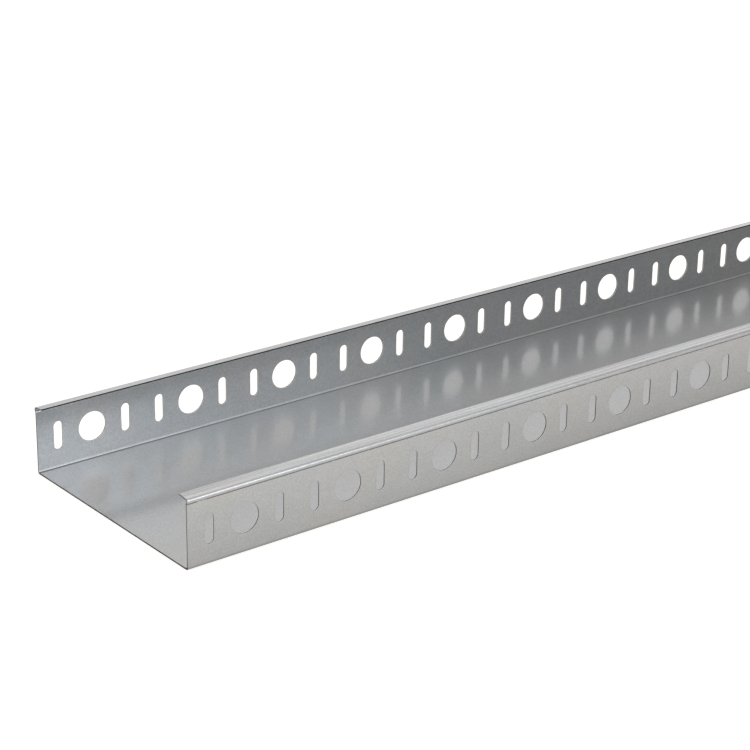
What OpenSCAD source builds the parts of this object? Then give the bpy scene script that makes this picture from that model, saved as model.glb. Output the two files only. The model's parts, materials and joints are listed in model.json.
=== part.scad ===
// Perforated cable tray, one length of stock.
// One sheet of galvanised steel, punched flat and then folded: a plain base, two side walls with a
// repeating row of slot, round hole and slot, and a return flange along the top of each wall.
// The length runs along X, the base's underside is at Z = 0, and the origin is under the middle.

/* [Tray] */
// Length of one piece of stock
tray_l = 2000; // [500:10:3000]
// Width over the outer faces of the side walls
tray_w = 225; // [100:1:600]
// Height of the side walls, up to the crown of the top bend
side_h = 60; // [48:1:110]
// Thickness of the sheet
sheet_t = 1.2; // [0.8:0.1:1.6]
// Inside radius of the bends between base and side walls
foot_bend_r = 1; // [0.4:0.1:3]

/* [Top edge] */
// Width of the return flange, from the rim's outer face to the flange's tip
flange_w = 11; // [8:0.5:30]
// Angle by which the flange climbs towards its tip
flange_rise = 6.5; // [0:0.5:20]
// Inside radius of the bend between side wall and flange
top_bend_r = 1; // [0.4:0.1:1.8]
// How far the rim stands out from the side wall below it
rim_out = 1; // [0.2:0.05:1.2]
// Height of the rim, from the top bend's crown down to where it starts to stand out
rim_h = 4.8; // [4.6:0.1:10]
// Inside radius of the two small bends that carry the rim outwards
rim_bend_r = 0.4; // [0.4:0.1:1]

/* [Perforation] */
// Length of one group: slot, round hole, slot
group_pitch = 100; // [95:1:150]
// Distance from one hole's centre to the next within a group
hole_step = 33; // [28:0.5:40]
// Distance from the tray's end to the centre of the first slot
first_slot = 20; // [10:0.5:50]
// Least distance from the last slot's centre to the tray's other end
end_margin = 10; // [8:0.5:30]
// Diameter of the round holes
round_d = 26.5; // [16:0.1:30]
// Width of the slots
slot_w = 8.5; // [5:0.1:12]
// Height of the slots, end to end
slot_h = 25.5; // [16:0.1:30]

/* [Hidden] */
$fn = 96;

hole_z = side_h / 2;
group_l = 2 * hole_step;
group_count = 1 + floor((tray_l - first_slot - group_l - end_margin) / group_pitch);

// Outer radii of the bends, and the run of each straight strip between them
foot_outer_r = foot_bend_r + sheet_t;
top_outer_r = top_bend_r + sheet_t;
top_turn = 90 - flange_rise;
rim_path_r = 2 * rim_bend_r + sheet_t;
rim_turn = acos(1 - rim_out / rim_path_r);
wall_run = side_h - rim_h - foot_outer_r;
rim_run = rim_h - rim_path_r * sin(rim_turn) - top_outer_r * sin(top_turn);
flange_run = (flange_w - top_outer_r * (1 - cos(top_turn))) / cos(flange_rise);

// The folds of one side from base to flange tip, each as [straight run, turn, inside radius].
// A turn above zero folds the sheet inwards and one below zero folds it outwards.
SIDE_FOLDS = [
    [0, 90, foot_bend_r],
    [wall_run, -rim_turn, rim_bend_r],
    [0, rim_turn, rim_bend_r],
    [rim_run, top_turn, top_bend_r],
    [flange_run, 0, 0]
];

// A bent piece of sheet about the origin: an arc of the sheet's thickness that starts on the X axis
module bend_arc(turn, inside_r) {
    reach = 2 * (inside_r + sheet_t);
    intersection() {
        difference() {
            circle(inside_r + sheet_t);
            circle(inside_r);
        }
        polygon([
            [0, 0],
            [reach, 0],
            reach * [cos(turn / 2), sin(turn / 2)],
            reach * [cos(turn), sin(turn)]
        ]);
    }
}

// A chain of strips and bends. The sheet's outer face starts along the X axis, with the sheet above it.
module folded_strip(folds, i = 0) {
    if (i < len(folds)) {
        run = folds[i][0];
        turn = folds[i][1];
        inside_r = folds[i][2];
        pivot = turn > 0 ? inside_r + sheet_t : -inside_r;
        if (run > 0)
            square([run, sheet_t]);
        translate([run, pivot]) {
            if (turn > 0)
                rotate(-90)
                    bend_arc(turn, inside_r);
            if (turn < 0)
                rotate(90 + turn)
                    bend_arc(-turn, inside_r);
            rotate(turn)
                translate([0, -pivot])
                    folded_strip(folds, i + 1);
        }
    }
}

// The section across the tray: a flat base and the same folds on either side
module section() {
    base_half = tray_w / 2 - foot_outer_r;
    translate([-base_half, 0])
        square([2 * base_half, sheet_t]);
    for (side = [0, 1])
        mirror([side, 0])
            translate([base_half, 0])
                folded_strip(SIDE_FOLDS);
}

// A slot with round ends, standing upright
module slot_outline() {
    end_y = (slot_h - slot_w) / 2;
    square([slot_w, 2 * end_y], center = true);
    for (y = [-end_y, end_y])
        translate([0, y])
            circle(d = slot_w);
}

// The row of holes as it is seen from the side, starting at the tray's end
module perforation() {
    for (group = [0 : group_count - 1])
        translate([first_slot + group * group_pitch, hole_z]) {
            slot_outline();
            translate([hole_step, 0])
                circle(d = round_d);
            translate([2 * hole_step, 0])
                slot_outline();
        }
}

// The folded sheet, with the same row of holes through both side walls
module tray() {
    punch_l = tray_w + 4 * flange_w;
    color([0.72, 0.72, 0.70])
        difference() {
            rotate([90, 0, 90])
                linear_extrude(tray_l, center = true)
                    section();
            translate([-tray_l / 2, 0, 0])
                rotate([90, 0, 0])
                    linear_extrude(punch_l, center = true)
                        perforation();
        }
}

tray();
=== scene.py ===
import json
import math
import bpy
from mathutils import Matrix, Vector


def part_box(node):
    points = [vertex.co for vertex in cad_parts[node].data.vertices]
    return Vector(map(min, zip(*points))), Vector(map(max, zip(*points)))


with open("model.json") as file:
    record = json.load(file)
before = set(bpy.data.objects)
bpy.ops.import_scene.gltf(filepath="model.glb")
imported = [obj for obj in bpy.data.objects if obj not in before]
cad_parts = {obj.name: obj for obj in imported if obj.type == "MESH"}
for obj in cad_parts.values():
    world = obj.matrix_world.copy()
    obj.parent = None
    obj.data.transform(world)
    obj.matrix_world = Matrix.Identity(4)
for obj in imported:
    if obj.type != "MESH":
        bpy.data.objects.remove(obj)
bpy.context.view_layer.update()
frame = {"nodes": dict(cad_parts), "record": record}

from types import SimpleNamespace

import bpy
from mathutils import Matrix, Vector

MM = 0.001

# The tray's own sizes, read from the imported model. The holes sit at half of the walls' height.
TRAY = frame["nodes"]["tray"]
LOW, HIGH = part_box("tray")
ROUND_HOLE = next(m for m in frame["record"]["mounts"] if m["kind"] == "bore")
HOLE_R = ROUND_HOLE["dims"]["r_mm"] * MM
SHEET_T = ROUND_HOLE["dims"]["length_mm"] * MM
HOLE_Z = ROUND_HOLE["pos_m"][2]
WALL_Y = abs(ROUND_HOLE["pos_m"][1]) + SHEET_T / 2
INNER_WALL_Y = WALL_Y - SHEET_T
BASE_Z = LOW.z + SHEET_T
CROWN_Z = 2 * HOLE_Z
OPEN_END = Vector((LOW.x, 0, LOW.z))

# Sizes of the folds
RIM_H = 4.8 * MM
TOP_BEND_H = 2.5 * MM
FLANGE_W = 11 * MM
FOOT_BEND_R = 1 * MM
RIM_FOOT_Z = CROWN_Z - RIM_H
TOP_BEND_Z = CROWN_Z - TOP_BEND_H
FLANGE_TIP_Y = HIGH.y - FLANGE_W
# Heights that the flanges' upper faces and their cut tips lie above
FLANGE_FACE_Z = CROWN_Z - SHEET_T
FLANGE_TIP_Z = CROWN_Z - 2 * SHEET_T

# Camera, as fitted to the photograph, whose frame is 750 pixels wide
FRAME_PX = 750
FOCAL_PX = 2198.07
SENSOR_MM = 36
CAMERA_FROM_END = Vector((-0.82225, -1.37324, 0.75803))
CAMERA_YAW = math.radians(38.459)
CAMERA_PITCH = math.radians(21.672)
CAMERA_ROLL = math.radians(0.781)
CLIP_NEAR = 0.01
CLIP_FAR = 200

# The room's soft light: an even level, and a brighter strip at the horizon that fades in between
# two sines of the height above level
ROOM_LEVEL = 0.9
ROOM_TINT = (1.008, 0.995, 0.998)
HORIZON_LEVEL = 0.05
HORIZON_SINES = (0.34, 0.12)
# Two brighter panels and a dimmer gap, each a round patch of the room that is soft towards its edge
PANELS = [
    {"turn": 45, "height": 52, "level": 0.55},
    {"turn": 160, "height": 42, "level": 0.62},
    {"turn": 135, "height": 22, "level": -0.5},
]
PANEL_EDGE = math.radians(30)
PANEL_CORE = math.radians(8)

# Lamps, placed and aimed from the middle of the tray's open end. The two low ones in front are cool.
COOL_TINT = (0.89, 0.975, 1.07)
PLAIN_TINT = (1, 1, 1)
LAMPS = [
    {"name": "front_lamp", "place": (0.48, -1.5, 0.5), "aim": (0.05, 0, 0),
     "size": (1.05, 0.6), "power": 9.5, "tint": COOL_TINT},
    {"name": "right_lamp", "place": (1.15, -1.5, 0.52), "aim": (0.3, 0, 0),
     "size": (0.8, 0.6), "power": 2.8, "tint": COOL_TINT},
    {"name": "high_lamp", "place": (1.1, -0.9, 1.55), "aim": (0.1, 0, 0),
     "size": (1.0, 0.35), "power": 0.7, "tint": PLAIN_TINT},
]

# Floor: its own colour, and how much it is lifted towards white where it is seen
FLOOR_SIZE = 24
FLOOR_GAP = 0.2 * MM
FLOOR_COLOUR = (0.5, 0.482, 0.455)
FLOOR_LIFT = 0.66
FLOOR_LIFT_TINT = (1.0, 0.98, 0.94)
# In reflections the floor is lifted less beside the tray, and still less away from the open end: a painted
# shadow of the tray that only reflections show
FLOOR_DIM = 0.36
FLOOR_DIM_MORE = 0.2
FLOOR_DIM_MORE_X = (LOW.x + 0.1, LOW.x + 0.5)
FLOOR_DIM_REACH = 0.2

# Zinc: the two greys that its clouds run between, and a third that shows here and there
ZINC_COOL = (0.312, 0.325, 0.325)
ZINC_WARM = (0.326, 0.322, 0.316)
ZINC_LILAC = (0.32, 0.3205, 0.3255)
# Steel where the sheet was cut, from the darkest to the brightest. The darkest is bare steel made near black
# with painted shade.
RAW_STEEL_IN_SHADE = (0.02, 0.02, 0.019)
END_STEEL = (0.2, 0.2, 0.195)
BURNISHED_STEEL = (0.85, 0.85, 0.84)

# Cuts and bends are told apart by how far a face points along, across or up, where 1 is straight
END_FACING = 0.7
HOLE_FACING = 0.5
TIP_FACING = 0.8
CORNER_FACING = 0.5
TOP_BEND_STEEPEST = 0.2
TOP_BEND_FLATTEST = 0.97
FLANGE_FACING = (0.8, 0.97)
# How far beside its exact place a cut edge or a bend is looked for
CUT_MARGIN = 0.3 * MM
FACE_MARGIN = 0.1 * MM

# Where a hole's wall turns from broken to polished, in from the outer face, and where the painted shade at a
# cut end's foot fades out
POLISHED_DEPTH = (0.62 * SHEET_T, 0.7 * SHEET_T)
END_SHADE_Z = (BASE_Z, BASE_Z + 2 * SHEET_T)

# Painted shade: how dark it is in each place, and between which limits it fades in
CREASE_SHADE = 0.85
CREASE_FROM_Z = (RIM_FOOT_Z - 0.35 * MM, RIM_FOOT_Z - 0.1 * MM)
CREASE_TO_Z = (RIM_FOOT_Z + 0.8 * MM, RIM_FOOT_Z + 0.5 * MM)
CREASE_STRETCH = (60, 8, 8)
CREASE_BREAKS = {"detail": 4.0, "roughness": 0.75}
CREASE_BREAK_LEVELS = (0.36, 0.46)
CORNER_SHADE = 0.55
CORNER_Y = (INNER_WALL_Y - 3.5 * FOOT_BEND_R, INNER_WALL_Y - 1.5 * FOOT_BEND_R)
CORNER_Z = (BASE_Z + 0.45 * FOOT_BEND_R, BASE_Z + 0.25 * FOOT_BEND_R)
FOOT_SHADE = 0.3
FOOT_Z = (3.5 * MM, 1.2 * MM)

# The bend between base and wall on its inside: where it starts and ends, and how much lighter its painted
# highlight makes it
INNER_BEND_FROM_Z = (BASE_Z + 0.1 * FOOT_BEND_R, BASE_Z + 0.4 * FOOT_BEND_R)
INNER_BEND_TO_Z = (BASE_Z + 2.2 * FOOT_BEND_R, BASE_Z + 1.6 * FOOT_BEND_R)
INNER_BEND_PAINTED_HIGHLIGHT = 0.4

# Patterns in the zinc: how fine each one is, and between which levels of its noise it fades in
CLOUDS = {"scale": 16.0, "detail": 3.0, "roughness": 0.55}
CLOUD_LEVELS = (0.3, 0.7)
PATCHES = {"scale": 11.0}
PATCH_LEVELS = (0.5, 0.75)
PATCH_SHIFT = (3, 5, 7)
PATCH_STRENGTH = 0.7
CRYSTAL_SCALE = 170
CRYSTAL_SMOOTHNESS = 0.6
SPECKS = {"scale": 650.0, "roughness": 0.6}
STREAKS = {"detail": 4.0, "roughness": 0.65}
STREAK_STRETCH = (5, 420, 420)

# How much lighter and darker the patterns make the zinc. The streaks are much stronger on the flanges.
CRYSTAL_TONE = 0.05
SPECK_TONE = 0.6
STREAK_TONE = 0.1
FLANGE_STREAK_TONE = 2.2

# The zinc's roughness, and how much the patterns and the cuts change it
ZINC_ROUGHNESS = 0.44
CLOUD_ROUGHNESS = 0.03
STREAK_ROUGHNESS = 0.03
CRYSTAL_ROUGHNESS = 0.02
CUT_ROUGHNESS = 0.25

# The clear film on the zinc, and the share of it that is rubbed off on the top bends
FILM_ROUGHNESS = 0.15
FILM_IOR = 2.2
FILM_RUBBED_OFF = 0.5

# Relief: rounded edges, the zinc's orange peel, and knocked stretches of the top bends with deeper dents
EDGE_ROUNDING = 0.5 * MM
EDGE_SAMPLES = 4
PEEL = {"scale": 300.0, "detail": 1.0}
DENTS = {"detail": 1.0}
DENT_STRETCH = (110, 260, 260)
DENT_DEPTH = 4.0
KNOCK_STRETCH = (7, 1, 1)
KNOCK_LEVELS = (0.47, 0.57)
RELIEF_STRENGTH = 0.5
RELIEF_DEPTH = 0.04 * MM


def add_camera():
    """The photograph's camera: it looks along the tray from in front of its open left end."""
    data = bpy.data.cameras.new("camera")
    data.sensor_width = SENSOR_MM
    data.lens = FOCAL_PX / FRAME_PX * SENSOR_MM
    data.clip_start = CLIP_NEAR
    data.clip_end = CLIP_FAR
    camera = bpy.data.objects.new("camera", data)
    bpy.context.scene.collection.objects.link(camera)
    turn = Matrix.Rotation(-CAMERA_YAW, 4, "Z")
    tilt = Matrix.Rotation(math.pi / 2 - CAMERA_PITCH, 4, "X")
    roll = Matrix.Rotation(CAMERA_ROLL, 4, "Z")
    camera.matrix_world = Matrix.Translation(OPEN_END + CAMERA_FROM_END) @ turn @ tilt @ roll
    bpy.context.scene.camera = camera


def new_node(tree, kind, **settings):
    """A node of a kind, with its settings."""
    node = tree.nodes.new(kind)
    for name, value in settings.items():
        setattr(node, name, value)
    return node


def feed(tree, socket, value):
    """Links a socket to another, or sets it to a plain value."""
    if isinstance(value, bpy.types.NodeSocket):
        tree.links.new(value, socket)
    elif socket.type == "RGBA":
        socket.default_value = (*value, 1)
    else:
        socket.default_value = value


def calc(tree, operation, *values):
    """One step of arithmetic."""
    node = new_node(tree, "ShaderNodeMath", operation=operation)
    for socket, value in zip(node.inputs, values):
        feed(tree, socket, value)
    return node.outputs["Value"]


def product(tree, first, *others):
    """All values multiplied together."""
    for other in others:
        first = calc(tree, "MULTIPLY", first, other)
    return first


def highest(tree, first, *others):
    """The highest of all values."""
    for other in others:
        first = calc(tree, "MAXIMUM", first, other)
    return first


def rest_of(tree, share):
    """What is left of 1 when a share is taken away."""
    return calc(tree, "SUBTRACT", 1, share)


def swing(tree, start, pattern, depth):
    """A value that a pattern of about 0 to 1 moves up and down by half of a depth."""
    return calc(tree, "MULTIPLY_ADD", calc(tree, "SUBTRACT", pattern, 0.5), depth, start)


def above(tree, value, limit):
    """1 where a value is above a limit, and 0 elsewhere."""
    return calc(tree, "GREATER_THAN", value, limit)


def below(tree, value, limit):
    """1 where a value is below a limit, and 0 elsewhere."""
    return calc(tree, "LESS_THAN", value, limit)


def fade(tree, value, start, end):
    """Goes smoothly from 0 at start to 1 at end, and stays there."""
    node = new_node(tree, "ShaderNodeMapRange", interpolation_type="SMOOTHSTEP", clamp=True)
    feed(tree, node.inputs["Value"], value)
    node.inputs["From Min"].default_value = start
    node.inputs["From Max"].default_value = end
    return node.outputs["Result"]


def parts_of(tree, vector):
    """The three numbers of a vector or a colour."""
    node = new_node(tree, "ShaderNodeSeparateXYZ")
    feed(tree, node.inputs["Vector"], vector)
    return node.outputs["X"], node.outputs["Y"], node.outputs["Z"]


def stretched(tree, vector, scale=(1, 1, 1), shift=(0, 0, 0)):
    """Coordinates for a pattern that is stretched and shifted."""
    node = new_node(tree, "ShaderNodeMapping")
    feed(tree, node.inputs["Vector"], vector)
    node.inputs["Scale"].default_value = scale
    node.inputs["Location"].default_value = shift
    return node.outputs["Vector"]


def noise(tree, vector, scale=1.0, detail=2.0, roughness=0.5):
    """Soft random pattern, mostly between 0.3 and 0.7."""
    node = new_node(tree, "ShaderNodeTexNoise")
    feed(tree, node.inputs["Vector"], vector)
    node.inputs["Scale"].default_value = scale
    node.inputs["Detail"].default_value = detail
    node.inputs["Roughness"].default_value = roughness
    return node.outputs["Fac"]


def mixed(tree, factor, first, second, blend="MIX"):
    """Two colours mixed by a factor."""
    node = new_node(tree, "ShaderNodeMix", data_type="RGBA", blend_type=blend)
    first_socket, second_socket = [s for s in node.inputs if s.type == "RGBA"]
    feed(tree, node.inputs["Factor"], factor)
    feed(tree, first_socket, first)
    feed(tree, second_socket, second)
    return next(s for s in node.outputs if s.type == "RGBA")


def grey(tree, value):
    """A grey of one value."""
    node = new_node(tree, "ShaderNodeCombineXYZ")
    for socket in node.inputs:
        feed(tree, socket, value)
    return node.outputs["Vector"]


def facing(tree, direction, axis):
    """How far a direction points along an axis, from -1 to 1."""
    node = new_node(tree, "ShaderNodeVectorMath", operation="DOT_PRODUCT")
    feed(tree, node.inputs[0], direction)
    node.inputs[1].default_value = axis
    return node.outputs["Value"]


def toward(turn, height):
    """The direction that is turned clockwise from +Y and lifted above level, in degrees."""
    turn = math.radians(turn)
    height = math.radians(height)
    return Vector((math.sin(turn) * math.cos(height), math.cos(turn) * math.cos(height), math.sin(height)))


def add_room():
    """Soft light from all round, brighter above the horizon and in two panels, dimmer in one gap."""
    world = bpy.data.worlds.new("room")
    bpy.context.scene.world = world
    world.use_nodes = True
    tree = world.node_tree
    direction = new_node(tree, "ShaderNodeTexCoord").outputs["Generated"]
    low = fade(tree, facing(tree, direction, (0, 0, 1)), *HORIZON_SINES)
    level = calc(tree, "MULTIPLY_ADD", low, HORIZON_LEVEL, ROOM_LEVEL)
    for panel in PANELS:
        near = facing(tree, direction, toward(panel["turn"], panel["height"]))
        glow = fade(tree, near, math.cos(PANEL_EDGE), math.cos(PANEL_CORE))
        level = calc(tree, "MULTIPLY_ADD", glow, panel["level"], level)
    background = tree.nodes["Background"]
    feed(tree, background.inputs["Color"], ROOM_TINT)
    feed(tree, background.inputs["Strength"], level)


def add_lamp(name, place, aim, size, power, tint):
    """A soft rectangular lamp, placed from the tray's open end and turned towards what it lights."""
    data = bpy.data.lights.new(name, "AREA")
    data.shape = "RECTANGLE"
    data.size, data.size_y = size
    data.energy = power
    data.color = tint
    lamp = bpy.data.objects.new(name, data)
    bpy.context.scene.collection.objects.link(lamp)
    away = Vector(place) - Vector(aim)
    turn = away.to_track_quat("Z", "Y").to_matrix().to_4x4()
    lamp.matrix_world = Matrix.Translation(OPEN_END + Vector(place)) @ turn


def floor_lift(tree):
    """How strongly the floor glows: in full where it is seen, and less in reflections beside the tray, as a
    painted shadow.
    """
    path = new_node(tree, "ShaderNodeLightPath")
    mirrored = calc(tree, "ADD", path.outputs["Is Glossy Ray"], path.outputs["Is Transmission Ray"])
    x, y, _ = parts_of(tree, new_node(tree, "ShaderNodeTexCoord").outputs["Object"])
    from_wall = calc(tree, "SUBTRACT", calc(tree, "ABSOLUTE", y), WALL_Y)
    # Painted shadow: in reflections the glow fades towards the tray and away from the open end
    dim = calc(tree, "MULTIPLY_ADD", fade(tree, x, *FLOOR_DIM_MORE_X), FLOOR_DIM_MORE, FLOOR_DIM)
    dim = product(tree, dim, fade(tree, from_wall, FLOOR_DIM_REACH, 0))
    mirrored = product(tree, mirrored, rest_of(tree, dim))
    seen = calc(tree, "MINIMUM", calc(tree, "ADD", path.outputs["Is Camera Ray"], mirrored), 1)
    return product(tree, seen, FLOOR_LIFT)


def floor_paint():
    """Matt pale floor that is lifted to white where it is seen, and keeps the tray's shadow."""
    material = bpy.data.materials.new("floor_paint")
    material.use_nodes = True
    tree = material.node_tree
    tree.nodes.remove(tree.nodes["Principled BSDF"])
    matt = new_node(tree, "ShaderNodeBsdfDiffuse")
    feed(tree, matt.inputs["Color"], FLOOR_COLOUR)
    glow = new_node(tree, "ShaderNodeEmission")
    feed(tree, glow.inputs["Color"], FLOOR_LIFT_TINT)
    feed(tree, glow.inputs["Strength"], floor_lift(tree))
    both = new_node(tree, "ShaderNodeAddShader")
    feed(tree, both.inputs[0], matt.outputs["BSDF"])
    feed(tree, both.inputs[1], glow.outputs["Emission"])
    feed(tree, tree.nodes["Material Output"].inputs["Surface"], both.outputs["Shader"])
    return material


def add_studio():
    """The room's light, two soft lamps in front, a weak one above them and a floor that shows white."""
    bpy.context.scene.view_settings.view_transform = "Standard"
    add_room()
    for lamp in LAMPS:
        add_lamp(**lamp)
    bpy.ops.mesh.primitive_plane_add(size=FLOOR_SIZE, location=(0, 0, LOW.z - FLOOR_GAP))
    floor = bpy.context.object
    floor.name = "floor"
    floor.data.materials.append(floor_paint())


def surface(tree):
    """Where a point of the tray is and which way it faces, the same for both sides and both ends."""
    coords = new_node(tree, "ShaderNodeTexCoord")
    x, y, z = parts_of(tree, coords.outputs["Object"])
    nx, ny, nz = parts_of(tree, coords.outputs["Normal"])
    return SimpleNamespace(
        place=coords.outputs["Object"],
        along=calc(tree, "ABSOLUTE", x),
        across=calc(tree, "ABSOLUTE", y),
        z=z,
        end_face=calc(tree, "ABSOLUTE", nx),
        side_face=calc(tree, "ABSOLUTE", ny),
        up_face=nz)


def cut_edges(tree, at):
    """Where the sheet was cut, and the steel's colour there, with painted shade in its darkest parts."""
    end = product(tree,
                  above(tree, at.end_face, END_FACING),
                  above(tree, at.along, HIGH.x - CUT_MARGIN))
    off_row = calc(tree, "ABSOLUTE", calc(tree, "SUBTRACT", at.z, HOLE_Z))
    hole = product(tree,
                   rest_of(tree, end),
                   below(tree, at.side_face, HOLE_FACING),
                   above(tree, at.across, INNER_WALL_Y - FACE_MARGIN),
                   below(tree, off_row, HOLE_R + CUT_MARGIN))
    # The flanges' cut tips are bare steel darkened with painted shade
    flange_tip = product(tree,
                         above(tree, at.side_face, TIP_FACING),
                         below(tree, at.across, FLANGE_TIP_Y + SHEET_T / 2),
                         above(tree, at.z, FLANGE_TIP_Z))
    # The punch broke out through the outer part of a hole's wall and polished the inner part. The broken
    # part is bare steel darkened with painted shade.
    depth = calc(tree, "SUBTRACT", WALL_Y, at.across)
    polished = product(tree, hole, fade(tree, depth, *POLISHED_DEPTH))
    # Painted shade: a cut end is near black at the floor and lighter above it
    end_above_shade = product(tree, end, fade(tree, at.z, *END_SHADE_Z))
    steel = mixed(tree, polished, RAW_STEEL_IN_SHADE, BURNISHED_STEEL)
    steel = mixed(tree, end_above_shade, steel, END_STEEL)
    return highest(tree, end, hole, flange_tip), steel


def painted_shade(tree, at):
    """How much shade is painted in the crease under the rim, in the corners of the base and at the foot
    bends.
    """
    breaks = noise(tree, stretched(tree, at.place, CREASE_STRETCH), **CREASE_BREAKS)
    # Painted shade: a dark broken line in the crease under the rim
    crease = product(tree,
                     above(tree, at.across, WALL_Y - SHEET_T / 2),
                     fade(tree, at.z, *CREASE_FROM_Z),
                     fade(tree, at.z, *CREASE_TO_Z),
                     fade(tree, breaks, *CREASE_BREAK_LEVELS),
                     CREASE_SHADE)
    # Painted shade in the base's corners beside the walls
    corner = product(tree,
                     fade(tree, at.across, *CORNER_Y),
                     fade(tree, at.z, *CORNER_Z),
                     above(tree, at.up_face, CORNER_FACING),
                     CORNER_SHADE)
    # Painted shade on the outside of the walls' foot, darker towards the floor
    foot = product(tree,
                   fade(tree, at.z, *FOOT_Z),
                   above(tree, at.across, INNER_WALL_Y),
                   below(tree, at.end_face, END_FACING),
                   FOOT_SHADE)
    return highest(tree, crease, corner, foot)


def inner_bend(tree, at):
    """1 in the bend between base and wall, on the inside, where a highlight is painted into the zinc's
    colour.
    """
    return product(tree,
                   below(tree, at.across, INNER_WALL_Y + FACE_MARGIN),
                   above(tree, at.across, INNER_WALL_Y - FOOT_BEND_R),
                   fade(tree, at.z, *INNER_BEND_FROM_Z),
                   fade(tree, at.z, *INNER_BEND_TO_Z))


def top_bend(tree, at):
    """1 on the outside of the bends between walls and flanges, where the folding tool rubbed the zinc."""
    return product(tree,
                   above(tree, at.z, TOP_BEND_Z),
                   above(tree, at.up_face, TOP_BEND_STEEPEST),
                   below(tree, at.up_face, TOP_BEND_FLATTEST))


def zinc_patterns(tree, at):
    """The marks in the zinc: painted shade, clouds, crystals, specks and streaks along the rolling
    direction.
    """
    crystals = new_node(tree, "ShaderNodeTexVoronoi", feature="SMOOTH_F1")
    feed(tree, crystals.inputs["Vector"], at.place)
    crystals.inputs["Scale"].default_value = CRYSTAL_SCALE
    crystals.inputs["Smoothness"].default_value = CRYSTAL_SMOOTHNESS
    patches = noise(tree, stretched(tree, at.place, shift=PATCH_SHIFT), **PATCHES)
    return SimpleNamespace(
        shade=painted_shade(tree, at),
        clouds=fade(tree, noise(tree, at.place, **CLOUDS), *CLOUD_LEVELS),
        patches=fade(tree, patches, *PATCH_LEVELS),
        crystals=parts_of(tree, crystals.outputs["Color"])[0],
        specks=noise(tree, at.place, **SPECKS),
        streaks=noise(tree, stretched(tree, at.place, STREAK_STRETCH), **STREAKS))


def zinc_colour(tree, at, marks):
    """Grey zinc, a little lighter and darker from mark to mark, with painted shade in its creases and
    corners and a painted highlight in its inner bends.
    """
    zinc = mixed(tree, marks.clouds, ZINC_COOL, ZINC_WARM)
    zinc = mixed(tree, product(tree, marks.patches, PATCH_STRENGTH), zinc, ZINC_LILAC)
    flange = product(tree, fade(tree, at.up_face, *FLANGE_FACING), above(tree, at.z, FLANGE_FACE_Z))
    tone = swing(tree, 1.0, marks.crystals, CRYSTAL_TONE)
    tone = swing(tree, tone, marks.specks, SPECK_TONE)
    streak_tone = calc(tree, "MULTIPLY_ADD", flange, FLANGE_STREAK_TONE, STREAK_TONE)
    tone = swing(tree, tone, marks.streaks, streak_tone)
    # Painted highlight: the inner bends are made lighter
    painted_highlight = calc(tree, "MULTIPLY_ADD", inner_bend(tree, at), INNER_BEND_PAINTED_HIGHLIGHT, 1)
    # Painted shade darkens the creases, corners and foot bends
    tone = product(tree, tone, painted_highlight, rest_of(tree, marks.shade))
    return mixed(tree, 1.0, zinc, grey(tree, tone), "MULTIPLY")


def zinc_roughness(tree, marks, cut):
    """A dull metal, a little duller and brighter from mark to mark, and dullest where it was cut."""
    dull = calc(tree, "MULTIPLY_ADD", marks.clouds, CLOUD_ROUGHNESS, ZINC_ROUGHNESS)
    dull = swing(tree, dull, marks.streaks, STREAK_ROUGHNESS)
    dull = swing(tree, dull, marks.crystals, CRYSTAL_ROUGHNESS)
    return calc(tree, "MULTIPLY_ADD", cut, CUT_ROUGHNESS, dull)


def zinc_film(tree, at, marks, cut):
    """How much of the clear film there is: none on cuts and painted shade, and less on the rubbed top bends.
    """
    film = rest_of(tree, highest(tree, cut, marks.shade))
    return product(tree, film, calc(tree, "MULTIPLY_ADD", top_bend(tree, at), -FILM_RUBBED_OFF, 1))


def zinc_relief(tree, at):
    """Rounded edges, the zinc's fine orange peel and a few dents along the top bends."""
    edge = new_node(tree, "ShaderNodeBevel", samples=EDGE_SAMPLES)
    edge.inputs["Radius"].default_value = EDGE_ROUNDING
    knocks = fade(tree, noise(tree, stretched(tree, at.place, KNOCK_STRETCH)), *KNOCK_LEVELS)
    dents = noise(tree, stretched(tree, at.place, DENT_STRETCH), **DENTS)
    dents = product(tree, top_bend(tree, at), knocks, dents)
    relief = new_node(tree, "ShaderNodeBump")
    relief.inputs["Strength"].default_value = RELIEF_STRENGTH
    relief.inputs["Distance"].default_value = RELIEF_DEPTH
    height = calc(tree, "MULTIPLY_ADD", dents, DENT_DEPTH, noise(tree, at.place, **PEEL))
    feed(tree, relief.inputs["Height"], height)
    feed(tree, relief.inputs["Normal"], edge.outputs["Normal"])
    return relief.outputs["Normal"]


def galvanised_steel():
    """Zinc-coated sheet: cloudy grey with rolling streaks under a clear film, and bare steel at its cuts."""
    material = bpy.data.materials.new("galvanised_steel")
    material.use_nodes = True
    tree = material.node_tree
    shader = tree.nodes["Principled BSDF"]
    at = surface(tree)
    marks = zinc_patterns(tree, at)
    cut, steel = cut_edges(tree, at)
    relief = zinc_relief(tree, at)
    feed(tree, shader.inputs["Base Color"], mixed(tree, cut, zinc_colour(tree, at, marks), steel))
    feed(tree, shader.inputs["Roughness"], zinc_roughness(tree, marks, cut))
    feed(tree, shader.inputs["Normal"], relief)
    shader.inputs["Metallic"].default_value = 1.0
    feed(tree, shader.inputs["Coat Weight"], zinc_film(tree, at, marks, cut))
    shader.inputs["Coat Roughness"].default_value = FILM_ROUGHNESS
    shader.inputs["Coat IOR"].default_value = FILM_IOR
    feed(tree, shader.inputs["Coat Normal"], relief)
    return material


add_camera()
add_studio()
TRAY.data.materials[0] = galvanised_steel()
